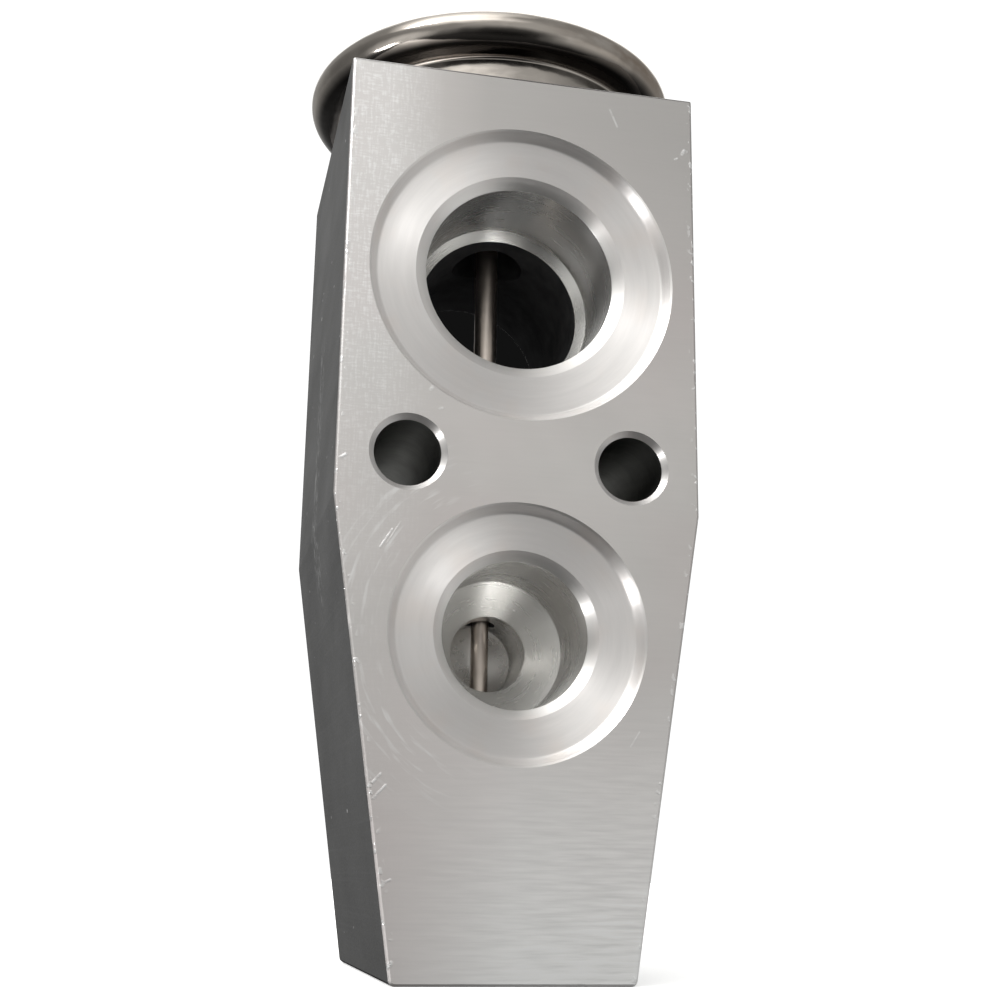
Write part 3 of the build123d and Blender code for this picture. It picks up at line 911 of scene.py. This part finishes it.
class VALVE_OT_block(bpy.types.Operator):
    """Make the milled block with its ports, screw holes and long bore"""
    bl_idname = "expansion_valve.block"
    bl_label = "Block"

    def execute(self, context):
        valve = settings()
        block = valve.block
        piece = as_object("milled_block", block_blank())
        ports = ((valve.suction, -1), (valve.suction, 1), (valve.outlet, -1), (valve.inlet, 1))
        cutters = [turned(port_profile(port), placing=facing(port.height, side)) for port, side in ports]
        cutters += [screw_cutter(-1), screw_cutter(1), top_cutter(), bottom_cutter()]
        cut(piece, cutters)
        finish_mesh(piece)
        bores = (
            ("turned_suction", valve.suction.height, 0), ("turned_outlet", valve.outlet.height, 0),
            ("turned_inlet", valve.inlet.height, 0),
            ("turned_screw_holes", block.screw_height, block.screw_spacing / 2),
        )
        give(
            piece,
            material("milled_aluminium", milled_aluminium),
            material("extruded_aluminium", extruded_aluminium),
            material("shaded_passage_black", shaded_passage_black),
            *(material(name, turned_aluminium, height, offset) for name, height, offset in bores),
            # The dark grey inside the screw holes is painted shade.
            material("drilled_aluminium", plain_metal, (0.26, 0.26, 0.25), 0.36, (0.3, 3, 0.3), 1.5),
        )
        for face in piece.data.polygons:
            face.material_index = block_finish(face)
        settle(piece, "body", "block_aluminium", "valve_body")
        return {"FINISHED"}


def block_finish(face):
    """Which of the block's materials a face gets."""
    valve = settings()
    block = valve.block
    x, y, z = face.center
    normal = face.normal
    depth = block.depth / 2 - abs(y)
    if abs(normal.y) > 0.999 and depth < 0.01 * MM:
        return MILLED
    side = normal.x * x > 0 and abs(normal.y) < 0.3 and half_width(z) - abs(x) < 0.5 * MM
    if side and abs(normal.z) < 0.5:
        return EXTRUDED
    if abs(normal.z) > 0.9 and (z < 0.3 * MM or z > block.height - 0.3 * MM):
        return MILLED
    ports = ((valve.suction, SUCTION, 0), (valve.outlet, OUTLET, -1), (valve.inlet, INLET, 1))
    for port, finish, where in ports:
        radius = math.hypot(x, z - port.height)
        inwards = block.depth / 2 - where * y if where else depth
        # Deeper in the rear suction bore the walls get the near-black colour of painted shade.
        rear_in_shade = finish == SUCTION and y > 0 and depth > 2.2 * MM
        outer = port.passage * 0.98 < radius < port.seat + 0.3 * MM
        if outer and inwards < shoulder_end(port) + 0.1 * MM and not rear_in_shade:
            return finish
        if where and radius < port.passage * 1.02 and inwards < port.reach + 3 * MM:
            return finish
    hole = math.hypot(abs(x) - block.screw_spacing / 2, z - block.screw_height)
    if depth < block.screw_chamfer and hole < block.screw_hole + block.screw_chamfer + 0.1 * MM:
        return SCREW_MOUTH
    if hole < block.screw_hole + 0.1 * MM:
        return DRILLED
    # Every other face deeper than half a millimetre gets the near-black colour of painted shade.
    return MILLED if depth < 0.5 * MM else SHADED_PASSAGE


class VALVE_OT_head(bpy.types.Operator):
    """Make the lower housing and the cover of the head, and finish the fill plug and the diaphragm"""
    bl_idname = "expansion_valve.head"
    bl_label = "Head"

    def execute(self, context):
        head = settings().head
        top = settings().block.height
        finish = material("stainless_steel", stainless_steel)
        neck_end = top - head.neck_length
        lower = rounded([
            (head.neck_bore, neck_end), (head.neck - 0.8 * MM, neck_end), (head.neck, neck_end + 0.8 * MM),
            (head.neck, top), (head.body, top, 0.3 * MM), (head.body, head.flange_under, 0.4 * MM),
            (head.rim, head.flange_under, head.rim_round), (head.rim, head.flange_top),
            (head.cavity, head.flange_top), (head.cavity, head.cavity_floor),
            (head.stop_land, head.cavity_floor), (head.stop_land, head.stop_height, 0.2 * MM),
            (head.neck_bore, head.stop_height, 0.2 * MM),
        ])
        slope = head.wall / math.cos(math.radians(45))
        inner_crown = head.crown - head.wall
        upper = rounded([
            (head.plug_hole, inner_crown), (head.dome_crown - slope / 2, inner_crown, 1.0 * MM),
            (head.dome_foot - slope, head.cover_top, 0.6 * MM),
            (head.dome_foot - slope / 2, head.cover_under), (head.recess, head.cover_under),
            (head.recess, head.flange_top), (head.rim, head.flange_top),
            (head.rim, head.cover_top, head.rim_round), (head.dome_foot, head.cover_top, 1.2 * MM),
            (head.dome_crown, head.crown, 2.4 * MM), (head.plug_hole, head.crown),
        ], 8)
        halves = (("head_lower_half", lower, "head_housing"), ("head_dome", upper, "head_cover"))
        for name, profile, node in halves:
            piece = as_object(name, turned(profile, 256))
            finish_mesh(piece, 30)
            give(piece, finish)
            settle(piece, "body", "head_stainless", node)
        dress_nodes(finish, "fill_plug", "diaphragm")
        return {"FINISHED"}


def drawn_wire():
    """The finish of the spring and of the sprung rings."""
    return material("drawn_wire", plain_metal, settings().finishes.wire, 0.3)


class VALVE_OT_rod(bpy.types.Operator):
    """Finish the rod, the plate, the ball and what steadies it"""
    bl_idname = "expansion_valve.rod"
    bl_label = "Rod and ball"

    def execute(self, context):
        ground = material("ground_steel", plain_metal, settings().finishes.rod, 0.33, (1, 1, 0.08), 1.6, 0.03)
        dress_nodes(ground, "push_rod", "valve_ball", "ball_carrier", "diaphragm_plate")
        dress_nodes(ground, "backup_washer", "upper_washer")
        dress_nodes(drawn_wire(), "damper", "seal_retainer")
        return {"FINISHED"}


class VALVE_OT_spring(bpy.types.Operator):
    """Coil the valve spring"""
    bl_idname = "expansion_valve.spring"
    bl_label = "Valve spring"

    def execute(self, context):
        spring = settings().spring
        group = coil_tree("spring_coil", 20)
        middle = (spring.low + spring.high) / 2
        rise = (spring.high - spring.low) / 2 - spring.wire
        # The spring is made in two halves, one from its foot to its middle and one from its middle to its
        # top.
        for name, body, foot, end, turned_on in (
            ("spring_foot_half", "adjuster_ring", spring.low + spring.wire, spring.low, 0.0),
            ("spring_top_half", "pushrod", middle, spring.high, -math.pi * spring.turns),
        ):
            piece = grown(name, group, {
                "Radius": spring.radius, "Height": rise, "Turns": spring.turns / 2, "Section": spring.wire,
                "Finish": drawn_wire(),
            })
            piece.data.transform(Matrix.Translation((0, 0, foot)) @ Matrix.Rotation(turned_on, 4, "Z"))
            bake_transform(piece)
            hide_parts("valve_spring")
        return {"FINISHED"}


class VALVE_OT_adjuster(bpy.types.Operator):
    """Make the adjusting nut with its thread and hexagon socket"""
    bl_idname = "expansion_valve.adjuster"
    bl_label = "Adjusting nut"

    def execute(self, context):
        nut = settings().nut
        brass = material("turned_brass", plain_metal, settings().finishes.brass, 0.28, (1, 1, 4), 1.5)
        core = nut.thread - nut.thread_depth
        piece = as_object("socket_nut", turned(rounded([
            (0, nut.foot), (core - 0.3 * MM, nut.foot), (core, nut.foot + 0.3 * MM), (core, nut.shoulder),
            (nut.land, nut.shoulder), (nut.land, nut.groove_low), (nut.groove, nut.groove_low),
            (nut.groove, nut.groove_high), (nut.land, nut.groove_high), (nut.land, nut.top, 0.15 * MM),
            (nut.pocket, nut.top, 0.15 * MM), (nut.pocket, nut.pocket_floor), (0, nut.pocket_floor),
        ])))
        radius = nut.flats / 2 / math.cos(math.pi / 6)
        below, socket_end, mouth_end = nut.foot - MM, nut.foot + nut.socket, nut.foot + 0.6 * MM
        socket = [(0, below), (radius, below), (radius, socket_end), (0, socket_end)]
        mouth = [(0, below), (radius + MM, below), (radius - 0.6 * MM, mouth_end), (0, mouth_end)]
        cut(piece, [turned(socket, 6), turned(mouth, 96)])
        run = nut.shoulder - nut.foot - 1.4 * MM
        thread = grown("nut_thread", coil_tree("thread_ridge", 3), {
            "Radius": core + nut.thread_depth * 0.28, "Height": run, "Turns": run / nut.pitch,
            "Section": nut.thread_depth * 0.62, "Finish": brass,
        })
        thread.data.transform(Matrix.Translation((0, 0, nut.foot + 0.7 * MM)))
        join(piece, thread)
        finish_mesh(piece, 30)
        give(piece, brass)
        for face in piece.data.polygons:
            face.material_index = 0
        settle(piece, "adjuster", "nut_brass", "adjusting_nut")
        return {"FINISHED"}


class VALVE_OT_seals(bpy.types.Operator):
    """Finish the rubber rings"""
    bl_idname = "expansion_valve.seals"
    bl_label = "Seals"

    def execute(self, context):
        dress_nodes(material("moulded_rubber", moulded_rubber), "head_gasket", "rod_seal", "adjuster_seal")
        return {"FINISHED"}


# Stage

def add_light(name, power, width, place):
    """A soft square light towards the valve that the camera doesn't see."""
    data = bpy.data.lights.new(name, "AREA")
    data.shape = "RECTANGLE"
    data.size = data.size_y = width
    data.energy = power
    lamp = bpy.data.objects.new(name, data)
    bpy.context.scene.collection.objects.link(lamp)
    lamp.location = place
    lamp.rotation_euler = (VALVE_MIDDLE - Vector(place)).to_track_quat("-Z", "Y").to_euler()
    lamp.visible_camera = False


def glow(tree, way, toward, core, edge, brightness):
    """A round soft patch in the world: full within core degrees of a direction, none beyond edge degrees."""
    near = tree.vector("DOT_PRODUCT", way, tuple(Vector(toward).normalized()))
    return tree.ramp(near, math.cos(math.radians(edge)), math.cos(math.radians(core)), 0.0, brightness)


def backdrop_world(stage):
    """Pale air for the camera, and a dim room with light and dark patches for reflections and shadows."""
    lights = (
        ((-0.47, -0.50, 0.73), 10, 31, stage.window),
        ((-0.10, -0.80, 0.60), 6, 18, stage.window * 0.45),
        ((0.10, -0.96, 0.22), 12, 44, stage.window * 0.16),
        ((-0.36, -0.78, 0.51), 5, 19, stage.window * 0.34),
        ((-0.25, -0.25, 0.93), 10, 29, stage.ceiling * 0.8),
        ((0.02, 0.36, 0.93), 8, 27, stage.ceiling * 0.38),
        ((0.17, 0.68, 0.71), 8, 30, stage.ceiling),
        ((0.70, -0.52, -0.48), 10, 34, stage.table * 0.86),
        ((-0.90, -0.35, -0.28), 6, 26, stage.low),
    )
    darks = (((-0.02, -0.88, -0.47), 14, 36, 0.85), ((-0.94, 0.28, 0.05), 10, 42, 0.5))
    world = bpy.data.worlds.new("studio_air")
    bpy.context.scene.world = world
    world.use_nodes = True
    world.node_tree.nodes.clear()
    tree = Tree(world.node_tree)
    way = tree.vector("NORMALIZE", tree.node("ShaderNodeTexCoord").outputs["Generated"])
    room = tree.times(tree.ramp(tree.split(way)[2], -0.70, -0.15, 0.15, 1.0), stage.room)
    for patch in lights:
        room = tree.plus(room, glow(tree, way, *patch))
    for patch in darks:
        room = tree.times(room, tree.minus(1.0, glow(tree, way, *patch)))
    camera = tree.node("ShaderNodeLightPath").outputs["Is Camera Ray"]
    dim = tree.first("ShaderNodeBackground", {"Color": tree.join(room, room, tree.times(room, 0.98))})
    bright = tree.first("ShaderNodeBackground", {"Color": stage.pale, "Strength": 1.15})
    both = tree.first("ShaderNodeMixShader", {0: camera, 1: dim, 2: bright})
    tree.node("ShaderNodeOutputWorld", {"Surface": both})


def stage_disc(name, radius, segments, finish, surface, placing=Matrix()):
    """A round stage piece that only the camera sees, out of reflections and shadows."""
    bm = bmesh.new()
    bmesh.ops.create_circle(bm, cap_ends=True, segments=segments, radius=radius)
    piece = as_object(name, bm)
    piece.data.transform(placing)
    made = bpy.data.materials.new(finish)
    made.use_nodes = True
    tree = Tree(made.node_tree)
    made.node_tree.nodes.remove(node_of(made, "BSDF_PRINCIPLED"))
    tree.feed(node_of(made, "OUTPUT_MATERIAL").inputs["Surface"], surface(tree))
    give(piece, made)
    piece.visible_glossy = piece.visible_diffuse = piece.visible_shadow = False
    return piece


def pale_floor(tree):
    """Pale floor that fades into the air behind, with a soft shadow under the valve."""
    pale = settings().stage.pale
    x, y, z = tree.split(tree.place())
    away = tree.vector("LENGTH", tree.join(x, y))
    grain = tree.spread(tree.noise(tree.place(), 0.4, 3.0), 0.97, 1.0)
    strength = tree.times(grain, tree.ramp(away, 40.0, 420.0, 0.48, 1.12))
    glowing = tree.first("ShaderNodeEmission", {"Color": pale, "Strength": strength})
    lit = tree.first("ShaderNodeBsdfDiffuse", {"Color": pale})
    return tree.first("ShaderNodeAddShader", {0: glowing, 1: lit})


def one_sided_black(tree):
    """Black from the front and clear from behind."""
    behind = tree.node("ShaderNodeNewGeometry").outputs["Backfacing"]
    black = tree.first("ShaderNodeEmission", {"Color": (0.006, 0.006, 0.006)})
    clear = tree.first("ShaderNodeBsdfTransparent")
    return tree.first("ShaderNodeMixShader", {0: behind, 1: black, 2: clear})


def dark_card():
    """A black card close behind the suction passage that paints shade into the passage seen from the front.
    Its back is clear, so it hides nothing from behind.
    """
    suction = settings().suction
    away = settings().block.depth / 2 + 0.5 * MM
    placing = Matrix.Translation((0, away, suction.height)) @ Matrix.Rotation(math.pi / 2, 4, "X")
    return stage_disc("dark_card", suction.seat, 64, "dark_card", one_sided_black, placing)


class VALVE_OT_stage(bpy.types.Operator):
    """Set the camera, the pale floor and the lights"""
    bl_idname = "expansion_valve.stage"
    bl_label = "Stage"

    def execute(self, context):
        stage = settings().stage
        scene = bpy.context.scene
        data = bpy.data.cameras.new("photo_view")
        data.lens = stage.lens
        data.sensor_width = 36
        data.clip_start = 0.01
        camera = bpy.data.objects.new("photo_view", data)
        scene.collection.objects.link(camera)
        forward = CAMERA_AHEAD.normalized()
        right = forward.cross(CAMERA_UP).normalized()
        turn = Matrix((right, right.cross(forward), -forward)).transposed().to_4x4()
        camera.matrix_world = Matrix.Translation(CAMERA_PLACE) @ turn
        scene.camera = camera
        scene.view_settings.view_transform = "Standard"
        floor = stage_disc("studio_floor", FLOOR_RADIUS, 96, "pale_floor", pale_floor)
        dark_card()
        backdrop_world(stage)
        add_light("key_light", stage.key, 0.10, (-0.27, -0.18, 0.36))
        add_light("glint_light", stage.glint, 0.04, (-0.30, -0.06, -0.07))
        return {"FINISHED"}


class VALVE_PT_panel(bpy.types.Panel):
    """The valve's pieces and settings in the sidebar"""
    bl_idname = "VALVE_PT_panel"
    bl_label = "Expansion Valve"
    bl_space_type = "VIEW_3D"
    bl_region_type = "UI"
    bl_category = "Valve"

    def draw(self, context):
        layout = self.layout
        for operator in OPERATORS:
            layout.operator(operator.bl_idname)
        for name in ("key", "glint", "window", "ceiling", "table", "low", "room"):
            layout.prop(settings().stage, name)


OPERATORS = (
    VALVE_OT_block, VALVE_OT_head, VALVE_OT_rod, VALVE_OT_spring, VALVE_OT_adjuster, VALVE_OT_seals,
    VALVE_OT_stage,
)
GROUPS = (BlockSizes, PortSizes, HeadSizes, NutSizes, SpringSizes, Finishes, StageSettings, ValveSettings)


def register():
    """Make the classes and settings known to Blender."""
    for item in (*GROUPS, *OPERATORS, VALVE_PT_panel):
        bpy.utils.register_class(item)
    bpy.types.Scene.expansion_valve = PointerProperty(
        type=ValveSettings, name="Valve", description="Valve settings",
    )


def unregister():
    """Take the classes and settings away again."""
    del bpy.types.Scene.expansion_valve
    for item in reversed((*GROUPS, *OPERATORS, VALVE_PT_panel)):
        bpy.utils.unregister_class(item)


def main():
    """Make every piece."""
    register()
    set_ports()
    bpy.ops.expansion_valve.block()
    bpy.ops.expansion_valve.head()
    bpy.ops.expansion_valve.rod()
    bpy.ops.expansion_valve.spring()
    bpy.ops.expansion_valve.adjuster()
    bpy.ops.expansion_valve.seals()
    bpy.ops.expansion_valve.stage()


if __name__ == "__main__":
    main()
